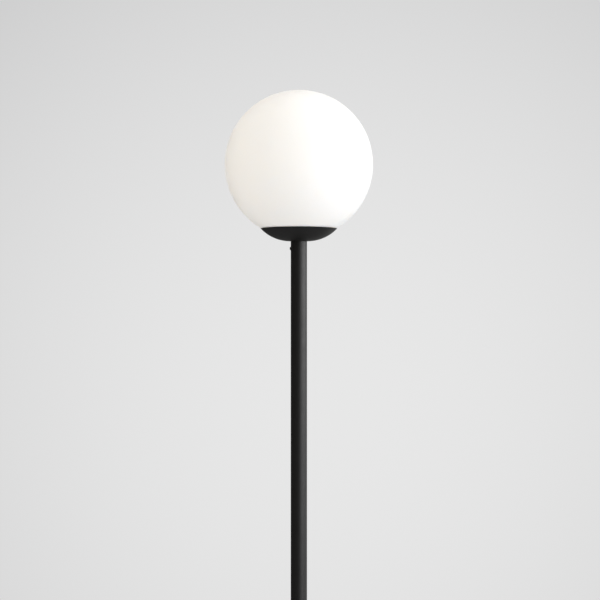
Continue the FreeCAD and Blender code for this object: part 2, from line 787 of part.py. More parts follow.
def make_holder_skirt():
    body = new_body("holder_skirt", "holder_place")
    turn_outline(body, "moulded_skirt", [
        ("holder_collar_radius + thread_gap", "holder_shoulder"),
        ("holder_radius", "holder_shoulder"),
        ("holder_radius", "holder_height - holder_edge_radius", "holder_edge_radius", "left"),
        ("holder_radius - holder_edge_radius", "holder_height"),
        ("holder_lip_radius", "holder_height"),
        ("holder_lip_radius", "holder_height - holder_lip"),
        ("holder_inner_radius", "holder_height - holder_lip"),
        ("holder_inner_radius", "insert_top"),
        ("holder_collar_radius + thread_gap", "insert_top"),
    ])


def make_holder_insert():
    # Carries the contacts. Its flange is gripped between the dome and the skirt.
    body = new_body("holder_insert", "holder_place")
    turn_outline(body, "moulded_insert", [
        ("0", "insert_bottom"),
        ("insert_radius", "insert_bottom"),
        ("insert_radius", "holder_collar_top"),
        ("holder_collar_radius - slip_gap", "holder_collar_top"),
        ("holder_collar_radius - slip_gap", "insert_top"),
        ("insert_cup_radius", "insert_top"),
        ("insert_cup_radius", "insert_cup_floor"),
        ("0", "insert_cup_floor"),
    ])
    ways = draw_circles(body, "wire_ways", "XY_Plane", [
        ("holder_wire_spread", "0", "wire_hole_radius"),
        ("0 - holder_wire_spread", "0", "wire_hole_radius"),
    ], "insert_bottom")
    pocket(body, "wire_holes", ways, "holder_wire_depth", along_normal=True)
    for side, along_normal in (("right", True), ("left", False)):
        start = "holder_wire_spread" if along_normal else "0 - holder_wire_spread"
        way = draw_circles(body, side + "_screw_way", "YZ_Plane",
                           [("0", "holder_screw_place", "terminal_hole_radius")], start)
        pocket(body, side + "_screw_hole", way, "insert_radius", along_normal=along_normal)


def make_holder_terminal_screws():
    body = new_body("holder_terminal_screws", "holder_place")
    reach = "insert_radius - holder_wire_spread - wire_hole_radius"
    for side, downward in (("right", False), ("left", True)):
        start = "holder_wire_spread + wire_hole_radius"
        if downward:
            start = "0 - holder_wire_spread - wire_hole_radius"
        spot = draw_circles(body, side + "_spot", "YZ_Plane",
                            [("0", "holder_screw_place", "holder_screw_radius")], start)
        pad(body, side + "_screw", spot, reach, downward=downward)


def make_screw_shell():
    body = new_body("screw_shell", "holder_place + insert_cup_floor")
    rings = draw_circles(body, "shell_rings", "XY_Plane",
                         [("0", "0", "shell_inside + shell_wall"), ("0", "0", "shell_inside")])
    pad(body, "shell", rings, "shell_top - insert_cup_floor")


def make_centre_contact():
    # A brass tongue that rises from the floor of the insert to just under the bulb.
    body = new_body("centre_contact", "holder_place")
    strip = draw_outline(body, "tongue_side", "XZ_Plane", [
        ("0 - tongue_heel", "insert_cup_floor"),
        ("0 - tongue_bend", "insert_cup_floor"),
        ("tongue_rise", "tongue_top - tongue_thickness"),
        ("tongue_tip", "tongue_top - tongue_thickness"),
        ("tongue_tip", "tongue_top"),
        ("tongue_rise - tongue_thickness", "tongue_top"),
        ("0 - tongue_bend - tongue_thickness", "insert_cup_floor + tongue_thickness"),
        ("0 - tongue_heel", "insert_cup_floor + tongue_thickness"),
    ])
    pad(body, "tongue", strip, "tongue_width", both_ways=True)


# ---- bulb ----

def bulb_body(label):
    return new_body(label, "holder_place + bulb_place")


def make_bulb_contact():
    body = bulb_body("bulb_contact")
    turn_outline(body, "tip", [
        ("0", "0"),
        ("contact_radius", "0"),
        ("contact_radius", "contact_inside"),
        ("cap_mouth_radius - slip_gap", "contact_height"),
        ("cap_mouth_radius - slip_gap", "contact_height + contact_inside"),
        ("0", "contact_height + contact_inside"),
    ])


def make_bulb_cap():
    body = bulb_body("bulb_cap")
    turn_outline(body, "drawn_cap", [
        ("cap_mouth_radius", "contact_height"),
        ("cap_radius", "contact_height + cap_cone"),
        ("cap_radius", "cap_length"),
        ("cap_radius - cap_wall", "cap_length"),
        ("cap_radius - cap_wall", "contact_height + cap_cone + cap_wall"),
        ("cap_mouth_radius", "contact_height + cap_wall"),
    ])


def make_bulb_housing():
    body = bulb_body("bulb_housing")
    turn_outline(body, "moulded_neck", [
        ("0", "housing_bottom"),
        ("cap_radius - cap_wall - slip_gap", "housing_bottom"),
        ("cap_radius - cap_wall - slip_gap", "cap_length"),
        ("bulb_neck_radius", "cap_length", "neck_curve", "right"),
        ("bulb_split_radius", "bulb_split"),
        ("board_radius + slip_gap", "bulb_split"),
        ("board_radius + slip_gap", "bulb_split - board_thickness"),
        ("0", "bulb_split - board_thickness"),
    ])


def make_led_board():
    body = bulb_body("bulb_led_board")
    disc = draw_circles(body, "board_circle", "XY_Plane", [("0", "0", "board_radius")],
                        "bulb_split - board_thickness")
    pad(body, "board", disc, "board_thickness")


def make_bulb_dome():
    body = bulb_body("bulb_dome")
    turn_outline(body, "diffuser", [
        ("bulb_split_radius", "bulb_split", "bulb_radius", "left"),
        ("0", "bulb_length"),
        ("0", "bulb_length - bulb_wall", "bulb_inside", "right"),
        ("bulb_split_inside", "bulb_split"),
    ])


# ---- wires ----

def rounded_route(points, radii):
    # Straight runs joined by tangent arcs.
    edges = []
    start = points[0]
    for number, radius in enumerate(radii, start=1):
        corner = points[number]
        back = (points[number - 1] - corner).normalize()
        ahead = (points[number + 1] - corner).normalize()
        half_turn = (math.pi - back.getAngle(ahead)) / 2
        reach = radius * math.tan(half_turn)
        first = corner + back * reach
        last = corner + ahead * reach
        inward = (back + ahead).normalize()
        centre = corner + inward * (radius / math.cos(half_turn))
        edges.append(Part.LineSegment(start, first).toShape())
        edges.append(Part.Arc(first, centre - inward * radius, last).toShape())
        start = last
    edges.append(Part.LineSegment(start, points[-1]).toShape())
    return Part.Wire(edges)


def make_wire(label, side):
    near = side * amount("wire_pitch") / 2
    block = side * amount("half_block_pitch")
    holder = side * amount("holder_wire_spread")
    low = amount("wire_height")
    high = amount("holder_place + head_nipple_reach + wire_top_rise")
    hole = amount("holder_place + insert_bottom")
    points = [
        Vector(block, amount("block_front + wire_entry"), low),
        Vector(block, amount("block_front - wire_straight"), low),
        Vector(near, amount("nut_pocket_radius"), low),
        Vector(near, 0, low),
        Vector(near, 0, high),
        Vector(holder, 0, hole - amount("wire_end_drop")),
        Vector(holder, 0, hole + amount("holder_wire_depth - soft_gap")),
    ]
    radii = [amount(name) for name in ("wire_side_bend", "wire_side_bend", "wire_bend",
                                       "wire_top_bend", "wire_top_bend")]
    route = rounded_route(points, radii)
    radius = amount("wire_radius")
    circle = Part.Wire([Part.Circle(points[0], Vector(0, 1, 0), radius).toShape()])
    feature = doc.addObject("Part::Feature", label)
    feature.Label = label
    feature.Shape = route.makePipeShell([circle], True, False)
    feature.Placement = FreeCAD.Placement()
    straight = math.pi * radius ** 2 * route.Length
    print(label, "bend radii", radii, "volume over section times length",
          round(feature.Shape.Volume / straight, 5))


make_felt()
make_weight()
make_cover()
make_gland()
make_washer()
make_nut("base_nut", "base_nipple_bottom")
make_nipple("base_nipple", "base_nipple_bottom", "cover_top - base_nipple_bottom + base_nipple_reach")
make_terminal_block()
make_block_clamp_screws()
make_block_screw()
make_plug("foot_plug", "cover_top", "foot_plug_length")
make_pole()
make_spigot()
make_set_screw()
make_nipple("head_nipple", "pole_top - head_nipple_drop",
            "head_nipple_drop + head_nut_top + head_nipple_reach")
make_dish()
make_spacer()
make_clip_plate()
make_nut("head_nut", "pole_top + plate_top")
make_spring_clips()
make_rivets()
make_seat_ring()
make_globe()
make_holder_dome()
make_holder_insert()
make_holder_terminal_screws()
make_screw_shell()
make_centre_contact()
make_holder_skirt()
make_bulb_contact()
make_bulb_cap()
make_bulb_housing()
make_led_board()
make_bulb_dome()
make_wire("wire_live", -1)
make_wire("wire_neutral", 1)

doc.recompute()
failed = [item.Label for item in doc.Objects if "Invalid" in item.State or "Error" in item.State]
if failed:
    raise RuntimeError("failed objects: " + ", ".join(failed))

pieces = [item for item in doc.Objects if item.TypeId in ("PartDesign::Body", "Part::Feature")]
for piece in pieces:
    if piece.Shape.isNull() or not piece.Shape.isValid():
        raise RuntimeError("bad shape: " + piece.Label)

os.makedirs("parts", exist_ok=True)
for piece in pieces:
    piece.Shape.exportStep(f"parts/{piece.Label}.step")
print(len(pieces), "pieces written")
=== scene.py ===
import json
import math
import bpy
from mathutils import Matrix, Vector


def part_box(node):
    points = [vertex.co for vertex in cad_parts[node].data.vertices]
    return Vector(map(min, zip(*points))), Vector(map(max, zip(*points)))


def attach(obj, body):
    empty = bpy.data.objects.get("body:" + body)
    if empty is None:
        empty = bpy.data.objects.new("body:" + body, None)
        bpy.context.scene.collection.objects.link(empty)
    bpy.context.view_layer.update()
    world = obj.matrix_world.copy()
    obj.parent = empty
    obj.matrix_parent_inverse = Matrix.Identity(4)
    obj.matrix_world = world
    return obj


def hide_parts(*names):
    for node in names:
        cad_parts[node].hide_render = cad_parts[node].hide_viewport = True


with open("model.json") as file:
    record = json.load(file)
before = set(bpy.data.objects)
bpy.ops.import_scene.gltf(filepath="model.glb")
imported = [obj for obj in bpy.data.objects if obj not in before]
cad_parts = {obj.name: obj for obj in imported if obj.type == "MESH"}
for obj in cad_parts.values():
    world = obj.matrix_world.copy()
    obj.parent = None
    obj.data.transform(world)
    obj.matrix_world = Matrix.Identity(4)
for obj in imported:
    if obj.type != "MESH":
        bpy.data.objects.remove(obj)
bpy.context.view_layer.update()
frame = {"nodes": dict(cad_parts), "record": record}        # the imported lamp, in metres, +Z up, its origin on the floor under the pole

print("frame loaded:", len(frame["nodes"]), "pieces")

mm = 0.001
onAxis = 1e-6        # a ring this small becomes the pole of a turned piece
near = 1e-5          # two heights or radii that lie closer than this count as the same
slotOf = {part["node"]: part["material_slot"] for part in frame["record"]["subparts"]}
bodyOf = {node: body for body, nodes in frame["record"]["behaviour"]["bodies"].items() for node in nodes}


def objectMode():
    if bpy.context.mode != 'OBJECT':
        bpy.ops.object.mode_set(mode='OBJECT')


def deselectAll():
    objectMode()
    bpy.ops.object.select_all(action='DESELECT')


def makeActive(piece):
    deselectAll()
    piece.select_set(True)
    bpy.context.view_layer.objects.active = piece


def editMode(piece, kind='VERT'):
    makeActive(piece)
    bpy.ops.object.mode_set(mode='EDIT')
    bpy.ops.mesh.select_mode(type=kind)


def sizeOf(node):
    # Radius, lowest and highest point of a round piece that stands on the lamp's axis.
    low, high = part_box(node)
    return (high[0] - low[0]) / 2, low[2], high[2]


def arc(centreRadius, centreHeight, radius, fromDegrees, toDegrees, steps):
    # Profile points along an arc. 0 degrees points away from the axis and 90 points up.
    points = []
    for step in range(steps + 1):
        angle = math.radians(fromDegrees + (toDegrees - fromDegrees) * step / steps)
        points.append((centreRadius + radius * math.cos(angle), centreHeight + radius * math.sin(angle)))
    return points


def ringThrough(profile):
    # Edit mode: extrudes the selected ring through the (radius, height) points of a profile.
    radius, height = profile[0]
    for nextRadius, nextHeight in profile[1:]:
        bpy.ops.mesh.extrude_region_move(TRANSFORM_OT_translate={"value": (0, 0, nextHeight - height)})
        grow = nextRadius / radius
        bpy.ops.transform.resize(value=(grow, grow, 1), center_override=(0, 0, nextHeight))
        radius, height = nextRadius, nextHeight


def turnPiece(name, profile, segments=96, closed=False):
    # A lathe: a circle is extruded along the profile. A closed profile comes back to its start.
    deselectAll()
    radius, height = profile[0]
    bpy.ops.mesh.primitive_circle_add(vertices=segments, radius=radius, location=(0, 0, 0))
    piece = bpy.context.object
    piece.name = name
    editMode(piece)
    bpy.ops.mesh.select_all(action='SELECT')
    bpy.ops.transform.translate(value=(0, 0, height))
    ringThrough(profile + profile[:1] if closed else profile)
    mendMesh(piece)
    return piece


def mendMesh(piece, gap=3e-6):
    editMode(piece)
    bpy.ops.mesh.select_all(action='SELECT')
    bpy.ops.mesh.remove_doubles(threshold=gap)
    bpy.ops.mesh.normals_make_consistent(inside=False)
    objectMode()


def smooth(piece, degrees=32):
    makeActive(piece)
    bpy.ops.object.shade_smooth_by_angle(angle=math.radians(degrees))


def pickFaces(piece, wanted):
    # Goes into edit mode with only the faces selected that the test wants.
    makeActive(piece)
    bpy.context.tool_settings.mesh_select_mode = (False, False, True)
    mesh = piece.data
    mesh.vertices.foreach_set("select", [False] * len(mesh.vertices))
    mesh.edges.foreach_set("select", [False] * len(mesh.edges))
    mesh.polygons.foreach_set("select", [bool(wanted(face)) for face in mesh.polygons])
    bpy.ops.object.mode_set(mode='EDIT')


def pickEdges(piece, wanted):
    # The same for edges. The test is given the two ends of each edge.
    makeActive(piece)
    bpy.context.tool_settings.mesh_select_mode = (False, True, False)
    mesh = piece.data
    mesh.vertices.foreach_set("select", [False] * len(mesh.vertices))
    mesh.polygons.foreach_set("select", [False] * len(mesh.polygons))
    ends = [[mesh.vertices[end].co for end in edge.vertices] for edge in mesh.edges]
    mesh.edges.foreach_set("select", [bool(wanted(first, last)) for first, last in ends])
    bpy.ops.object.mode_set(mode='EDIT')


def addModifier(piece, kind, **settings):
    makeActive(piece)
    modifier = piece.modifiers.new(kind.title(), kind)
    for name, value in settings.items():
        setattr(modifier, name, value)
    bpy.ops.object.modifier_apply(modifier=modifier.name)


def cutWith(piece, cutter):
    addModifier(piece, 'BOOLEAN', operation='DIFFERENCE', solver='EXACT', object=cutter)
    bpy.data.objects.remove(cutter, do_unlink=True)


def layDown(piece, turn, place):
    # Turns a finished piece about the origin and moves it, all in its mesh.
    piece.data.transform(Matrix.Translation(place) @ turn)
    piece.data.update()


def copyRound(piece, count):
    # Copies of one piece around the lamp's axis, each with its own mesh, joined into one object.
    copies = [piece]
    for number in range(1, count):
        another = piece.copy()
        another.data = piece.data.copy()
        bpy.context.collection.objects.link(another)
        another.data.transform(Matrix.Rotation(math.tau * number / count, 4, 'Z'))
        copies.append(another)
    makeActive(piece)
    for another in copies:
        another.select_set(True)
    bpy.ops.object.join()


def standFor(piece, node, finish):
    # The piece takes the place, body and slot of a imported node.
    objectMode()
    piece.data.materials.clear()
    piece.data.materials.append(finish)
    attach(piece, bodyOf[node])
    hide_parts(node)


def newFinish(name, settings):
    finish = bpy.data.materials.new(name)
    finish.use_nodes = True
    shader = finish.node_tree.nodes["Principled BSDF"]
    for socket, value in settings.items():
        shader.inputs[socket].default_value = value
    return finish


def addNode(finish, kind, settings, inputs=None):
    node = finish.node_tree.nodes.new(kind)
    for name, value in (inputs or {}).items():
        node.inputs[name].default_value = value
    for name, value in settings.items():
        setattr(node, name, value)
    return node


def joinUp(finish, source, target):
    finish.node_tree.links.new(source, target)


def shaderOf(finish):
    return finish.node_tree.nodes["Principled BSDF"]


def placeOf(finish, stretch=(1, 1, 1)):
    # Object coordinates, stretched along an axis where a pattern runs that way.
    place = addNode(finish, "ShaderNodeTexCoord", {})
    mapping = addNode(finish, "ShaderNodeMapping", {}, {"Scale": stretch})
    joinUp(finish, place.outputs["Object"], mapping.inputs["Vector"])
    return mapping.outputs["Vector"]


def speckle(finish, scale, detail=3.0, rough=0.55, stretch=(1, 1, 1)):
    # A noise pattern; scale is in lumps per metre.
    noise = addNode(finish, "ShaderNodeTexNoise", {}, {"Scale": scale, "Detail": detail, "Roughness": rough})
    joinUp(finish, placeOf(finish, stretch), noise.inputs["Vector"])
    return noise.outputs["Fac"]


def latheMarks(finish, scale):
    # Fine rings round the axis, as a lathe leaves them.
    wave = addNode(finish, "ShaderNodeTexWave", {"wave_type": 'RINGS', "rings_direction": 'Z'},
                   {"Scale": scale, "Distortion": 0.6, "Detail": 2.0, "Detail Scale": 3.0})
    joinUp(finish, placeOf(finish), wave.inputs["Vector"])
    return wave.outputs["Fac"]


def varyColour(finish, pattern, dark, light, low=0.3, high=0.7):
    ramp = addNode(finish, "ShaderNodeValToRGB", {})
    ends = ramp.color_ramp.elements
    ends[0].position, ends[1].position = low, high
    ends[0].color, ends[1].color = (*dark, 1), (*light, 1)
    joinUp(finish, pattern, ramp.inputs["Fac"])
    joinUp(finish, ramp.outputs["Color"], shaderOf(finish).inputs["Base Color"])
    return ramp.outputs["Color"]


def varyRoughness(finish, pattern, low, high):
    spread = addNode(finish, "ShaderNodeMapRange", {}, {"From Min": 0.3, "From Max": 0.7,
                                                        "To Min": low, "To Max": high})
    joinUp(finish, pattern, spread.inputs["Value"])
    joinUp(finish, spread.outputs["Result"], shaderOf(finish).inputs["Roughness"])


def addBumps(finish, pattern, height, strength=1.0):
    # Bumps of a height in metres. A second call adds finer bumps on top of the first.
    bump = addNode(finish, "ShaderNodeBump", {}, {"Distance": height, "Strength": strength})
    joinUp(finish, pattern, bump.inputs["Height"])
    target = shaderOf(finish).inputs["Normal"]
    if target.is_linked:
        joinUp(finish, target.links[0].from_socket, bump.inputs["Normal"])
    joinUp(finish, bump.outputs["Normal"], target)


def powderCoat(name):
    # Matt black powder coat: a very fine orange peel with a soft sheen.
    finish = newFinish(name, {"Specular IOR Level": 0.7})
    varyColour(finish, speckle(finish, 900), (0.0036, 0.0036, 0.0038), (0.0058, 0.0058, 0.0061))
    varyRoughness(finish, speckle(finish, 60), 0.44, 0.52)
    addBumps(finish, speckle(finish, 1100, detail=3), 0.035 * mm, 0.6)
    return finish


def opalGlass(name):
    # White opal glass, satin etched: light soaks in and comes out softened.
    finish = newFinish(name, {
        "Subsurface Weight": 1.0,
        "Subsurface Radius": (1.0, 0.93, 0.86),
        "Subsurface Scale": 5.0 * mm,
        "Specular IOR Level": 0.5,
        "IOR": 1.5,
    })
    varyColour(finish, speckle(finish, 9, detail=1), (0.982, 0.979, 0.972), (0.988, 0.986, 0.980))
    varyRoughness(finish, speckle(finish, 40), 0.36, 0.44)
    addBumps(finish, speckle(finish, 2600, detail=2), 0.01 * mm, 0.3)
    return finish


def castIron(name):
    finish = newFinish(name, {"Metallic": 0.6})
    varyColour(finish, speckle(finish, 120, detail=5), (0.045, 0.045, 0.048), (0.10, 0.10, 0.105))
    varyRoughness(finish, speckle(finish, 90), 0.55, 0.75)
    addBumps(finish, speckle(finish, 260, detail=6), 0.35 * mm, 0.8)
    return finish


def brightMetal(name, dark, light, rough, marks=None, grainScale=220):
    # Bright metal with fine wear; marks sets the turning rings, in rings per metre.
    finish = newFinish(name, {"Metallic": 1.0})
    varyColour(finish, speckle(finish, grainScale, detail=4), dark, light)
    varyRoughness(finish, speckle(finish, grainScale / 2), rough * 0.8, rough * 1.25)
    addBumps(finish, speckle(finish, 1800, detail=3), 0.008 * mm, 0.4)
    if marks:
        addBumps(finish, latheMarks(finish, marks), 0.012 * mm, 0.6)
    return finish


def stripMetal(name, dark, light, rough):
    # Rolled strip with faint scratches along its rolling direction.
    finish = newFinish(name, {"Metallic": 1.0, "Anisotropic": 0.4})
    varyColour(finish, speckle(finish, 300, detail=4), dark, light)
    varyRoughness(finish, speckle(finish, 400, stretch=(1, 1, 0.08)), rough * 0.75, rough * 1.3)
    addBumps(finish, speckle(finish, 2500, detail=2, stretch=(1, 1, 0.06)), 0.006 * mm, 0.5)
    return finish


def mouldedPlastic(name, dark, light, low, high, grain=1400):
    finish = newFinish(name, {"Specular IOR Level": 0.5})
    varyColour(finish, speckle(finish, 70), dark, light)
    varyRoughness(finish, speckle(finish, 150), low, high)
    addBumps(finish, speckle(finish, grain, detail=2), 0.01 * mm, 0.5)
    return finish


def milkyPlastic(name):
    # The bulb's diffuser: thin milky polycarbonate.
    finish = newFinish(name, {
        "Subsurface Weight": 0.9,
        "Subsurface Radius": (1.0, 0.97, 0.92),
        "Subsurface Scale": 1.2 * mm,
    })
    varyColour(finish, speckle(finish, 30), (0.91, 0.91, 0.89), (0.94, 0.94, 0.925))
    varyRoughness(finish, speckle(finish, 200), 0.42, 0.5)
    addBumps(finish, speckle(finish, 2200, detail=2), 0.008 * mm, 0.4)
    return finish


def feltCloth(name):
    # Pressed needle felt: short fibres that lie every way.
    finish = newFinish(name, {"Sheen Weight": 0.12, "Sheen Roughness": 0.5, "Specular IOR Level": 0.12})
    varyColour(finish, speckle(finish, 260, detail=9, rough=0.85), (0.006, 0.006, 0.0065),
               (0.050, 0.050, 0.052), low=0.38, high=0.66)
    varyRoughness(finish, speckle(finish, 500), 0.85, 1.0)
    addBumps(finish, speckle(finish, 300, detail=9, rough=0.85), 0.8 * mm, 1.0)
    return finish


def softRubber(name):
    finish = newFinish(name, {
        "Subsurface Weight": 0.6,
        "Subsurface Radius": (1.0, 1.0, 0.95),
        "Subsurface Scale": 1.5 * mm,
    })
    varyColour(finish, speckle(finish, 140), (0.72, 0.72, 0.69), (0.82, 0.82, 0.80))
    varyRoughness(finish, speckle(finish, 260), 0.38, 0.55)
    addBumps(finish, speckle(finish, 900, detail=3), 0.02 * mm, 0.5)
    return finish


def glazedCeramic(name):
    finish = newFinish(name, {"Coat Weight": 0.6, "Coat Roughness": 0.08})
    varyColour(finish, speckle(finish, 160, detail=5), (0.80, 0.78, 0.72), (0.88, 0.87, 0.83))
    varyRoughness(finish, speckle(finish, 300), 0.2, 0.34)
    addBumps(finish, speckle(finish, 500, detail=3), 0.03 * mm, 0.4)
    return finish


finishes = {
    "felt": feltCloth("blackFelt"),
    "cast_iron": castIron("castIron"),
    "black_coat": powderCoat("blackPowderCoat"),
    "black_bush": mouldedPlastic("blackNylon", (0.012, 0.012, 0.012), (0.020, 0.020, 0.021), 0.40, 0.55),
    "zinc_steel": brightMetal("zincPlatedSteel", (0.50, 0.51, 0.52), (0.66, 0.66, 0.63), 0.30, marks=900),
    "white_nylon": mouldedPlastic("whiteNylon", (0.76, 0.75, 0.71), (0.84, 0.83, 0.80), 0.38, 0.5),
    "brass": brightMetal("turnedBrass", (0.62, 0.42, 0.17), (0.78, 0.56, 0.25), 0.24, marks=1400),
    "turned_steel": brightMetal("turnedSteel", (0.42, 0.42, 0.42), (0.58, 0.58, 0.57), 0.28, marks=1200),
    "black_screw": mouldedPlastic("blackOxide", (0.010, 0.010, 0.011), (0.024, 0.024, 0.026), 0.34, 0.48),
    "spring_steel": stripMetal("springSteel", (0.56, 0.56, 0.55), (0.72, 0.72, 0.71), 0.22),
    "rivet_aluminium": brightMetal("rivetAluminium", (0.68, 0.68, 0.69), (0.82, 0.82, 0.82), 0.34),
    "silicone": softRubber("siliconeRubber"),
    "opal_glass": opalGlass("opalGlass"),
    "holder_black": mouldedPlastic("blackThermoset", (0.011, 0.011, 0.012), (0.018, 0.018, 0.019),
                                   0.22, 0.34),
    "holder_ceramic": glazedCeramic("glazedCeramic"),
    "nickel_brass": brightMetal("nickelPlatedBrass", (0.60, 0.57, 0.50), (0.74, 0.71, 0.64), 0.22),
    "contact_alloy": brightMetal("solderTip", (0.46, 0.46, 0.46), (0.62, 0.62, 0.61), 0.36),
    "bulb_white": mouldedPlastic("whiteHousing", (0.83, 0.83, 0.82), (0.88, 0.88, 0.87), 0.34, 0.44),
    "board_white": mouldedPlastic("whiteBoard", (0.80, 0.80, 0.79), (0.86, 0.86, 0.86), 0.3, 0.4),
    "bulb_diffuser": milkyPlastic("milkyDiffuser"),
    "wire_brown": mouldedPlastic("brownSheath", (0.09, 0.035, 0.015), (0.13, 0.055, 0.025), 0.36, 0.5),
    "wire_blue": mouldedPlastic("blueSheath", (0.02, 0.09, 0.34), (0.035, 0.13, 0.44), 0.36, 0.5),
}
for node, packed in frame["nodes"].items():
    packed.data.materials.clear()
    packed.data.materials.append(finishes[slotOf[node]])
print("finishes made:", len(finishes))


globeShape = {
    "wall": 3.0 * mm,
    "segments": 160,
    "rings": 96,
    "rimRound": 0.8 * mm,        # the mouth is cut flat and its edges are fire polished
}


def makeGlobe():
    radius, mouth, top = sizeOf("globe")
    centre = top - radius
    deselectAll()
    bpy.ops.mesh.primitive_uv_sphere_add(segments=globeShape["segments"], ring_count=globeShape["rings"],
                                         radius=radius, location=(0, 0, 0))
    piece = bpy.context.object
    piece.name = "opal_globe"
    editMode(piece)
    bpy.ops.mesh.primitive_uv_sphere_add(segments=globeShape["segments"], ring_count=globeShape["rings"],
                                         radius=radius - globeShape["wall"], location=(0, 0, 0))
    bpy.ops.mesh.flip_normals()
    bpy.ops.mesh.select_all(action='SELECT')
    bpy.ops.transform.translate(value=(0, 0, centre))
    bpy.ops.mesh.bisect(plane_co=(0, 0, mouth), plane_no=(0, 0, 1), clear_inner=True)
    pickEdges(piece, lambda first, last: max(first.z, last.z) < mouth + near)
    bpy.ops.mesh.bridge_edge_loops()
    pickEdges(piece, lambda first, last: max(first.z, last.z) < mouth + near
              and abs(first.xy.length - last.xy.length) < near)
    bpy.ops.mesh.bevel(offset=globeShape["rimRound"], segments=4)
    objectMode()
    smooth(piece)
    standFor(piece, "globe", finishes["opal_glass"])


dishShape = {
    "wall": 1.5 * mm,
    "flat": 12.5 * mm,        # radius of the seat on the pole
    "hole": 5.3 * mm,
    "rimLand": 0.5 * mm,      # width of the rim's flat edge
    "rimBevel": 4.4 * mm,     # width of the whole rim with its bevel, which follows the globe
    "globeGap": 0.3 * mm,
    "rimRound": 0.18 * mm,
    "joinGap": 0.1 * mm,      # least height between the bevel and the next ring of the inner curve
    "steps": 28,
}


def makeDish():
    # A shallow spun bowl: a flat seat, then one long curve to the rim.
    rim, low, high = sizeOf("shade_dish")
    depth = high - low
    flat = dishShape["flat"]
    wall = dishShape["wall"]
    curve = ((rim - flat) ** 2 + depth ** 2) / (2 * depth)
    reach = math.degrees(math.acos((curve - depth) / curve))
    outer = arc(flat, low + curve, curve, -90, reach - 90, dishShape["steps"])
    innerReach = math.degrees(math.acos((curve - depth) / (curve - wall)))
    inner = arc(flat, low + curve, curve - wall, innerReach - 90, -90, dishShape["steps"])
    globeRadius, _, globeTop = sizeOf("globe")
    seat = globeRadius + dishShape["globeGap"]
    seatHeight = globeTop - globeRadius
    outerRim = (rim - dishShape["rimLand"], high)
    innerRadius = rim - dishShape["rimBevel"]
    innerRim = (innerRadius, seatHeight - math.sqrt(seat ** 2 - innerRadius ** 2))
    inner = [point for point in inner if point[1] < innerRim[1] - dishShape["joinGap"]]
    profile = [(dishShape["hole"], low)] + outer + [outerRim, innerRim] + inner
    profile.append((dishShape["hole"], low + wall))
    piece = turnPiece("shade_bowl", profile, segments=192, closed=True)
    pickEdges(piece, lambda first, last: abs(first.z - last.z) < near
              and min(abs(first.z - high), abs(first.z - innerRim[1])) < near)
    bpy.ops.mesh.bevel(offset=dishShape["rimRound"], segments=2)
    mendMesh(piece, gap=1e-6)
    smooth(piece)
    standFor(piece, "shade_dish", finishes["black_coat"])


poleShape = {
    "wall": 1.5 * mm,
    "edge": 0.4 * mm,
    "screwHole": 1.8 * mm,
    "rings": 24,
}


def cutterRod(radius, length, centre, axis):
    # A rod to cut a hole with, along X, Y or Z.
    deselectAll()
    bpy.ops.mesh.primitive_cylinder_add(vertices=48, radius=radius, depth=length, location=(0, 0, 0))
    rod = bpy.context.object
    turn = Matrix.Identity(4) if axis == 'Z' else Matrix.Rotation(math.pi / 2, 4, 'Y' if axis == 'X' else 'X')
    layDown(rod, turn, centre)
    return rod


def makePole():
    radius, low, high = sizeOf("pole")
    inside = radius - poleShape["wall"]
    edge = poleShape["edge"]
    profile = [(inside, low), (radius - edge, low), (radius, low + edge)]
    rings = poleShape["rings"]
    profile += [(radius, low + edge + (high - low - 2 * edge) * ring / rings) for ring in range(1, rings + 1)]
    profile += [(radius - edge, high), (inside, high)]
    piece = turnPiece("pole_tube", profile, segments=128, closed=True)
    screwLow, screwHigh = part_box("set_screw")
    centre = Vector((-radius, 0, (screwLow[2] + screwHigh[2]) / 2))
    cutWith(piece, cutterRod(poleShape["screwHole"], radius, centre, 'X'))
    smooth(piece)
    standFor(piece, "pole", finishes["black_coat"])


screwShape = {
    "shank": 1.5 * mm,
    "edge": 0.1 * mm,
    "dome": 0.9 * mm,        # height of the rounded part of the head
    "crownEnds": 12,         # degrees of the crown that stay flat round the socket
    "socket": 1.0 * mm,      # half the width across the socket's flats
    "socketDepth": 0.9 * mm,
}


def makeSetScrew():
    # A small button head screw with a hexagon socket, turned upright and laid along -X.
    low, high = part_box("set_screw")
    poleRadius = sizeOf("pole")[0]
    head = (high[1] - low[1]) / 2
    proud = -low[0] - poleRadius
    length = high[0] + poleRadius
    rise, shank, edge = screwShape["dome"], screwShape["shank"], screwShape["edge"]
    bow = (head ** 2 + rise ** 2) / (2 * rise)
    outside = 90 - math.degrees(math.asin(min(1, head / bow)))
    crown = arc(0, proud - bow, bow, outside, 90 - screwShape["crownEnds"], 8)
    profile = [(onAxis, -length), (shank - edge, -length), (shank, edge - length), (shank, 0),
               (head - edge, 0), (head, edge)] + crown + [(onAxis, proud)]
    piece = turnPiece("set_screw_head", profile, segments=64)
    deselectAll()
    bpy.ops.mesh.primitive_cylinder_add(vertices=6, radius=screwShape["socket"] / math.cos(math.pi / 6),
                                        depth=2 * screwShape["socketDepth"], location=(0, 0, proud))
    key = bpy.context.object
    bpy.ops.object.transform_apply(location=True, rotation=True, scale=True)
    cutWith(piece, key)
    layDown(piece, Matrix.Rotation(-math.pi / 2, 4, 'Y'), Vector((-poleRadius, 0, (low[2] + high[2]) / 2)))
    smooth(piece)
    standFor(piece, "set_screw", finishes["black_screw"])


coverShape = {
    "wall": 1.5 * mm,
    "edgeRound": 5.0 * mm,
    "crown": 1.5 * mm,
    "flat": 13.0 * mm,
    "hole": 5.3 * mm,
    "bottomRound": 0.3 * mm,
    "bushHole": 4.2 * mm,
    "bushHoleDepth": 12.0 * mm,
}


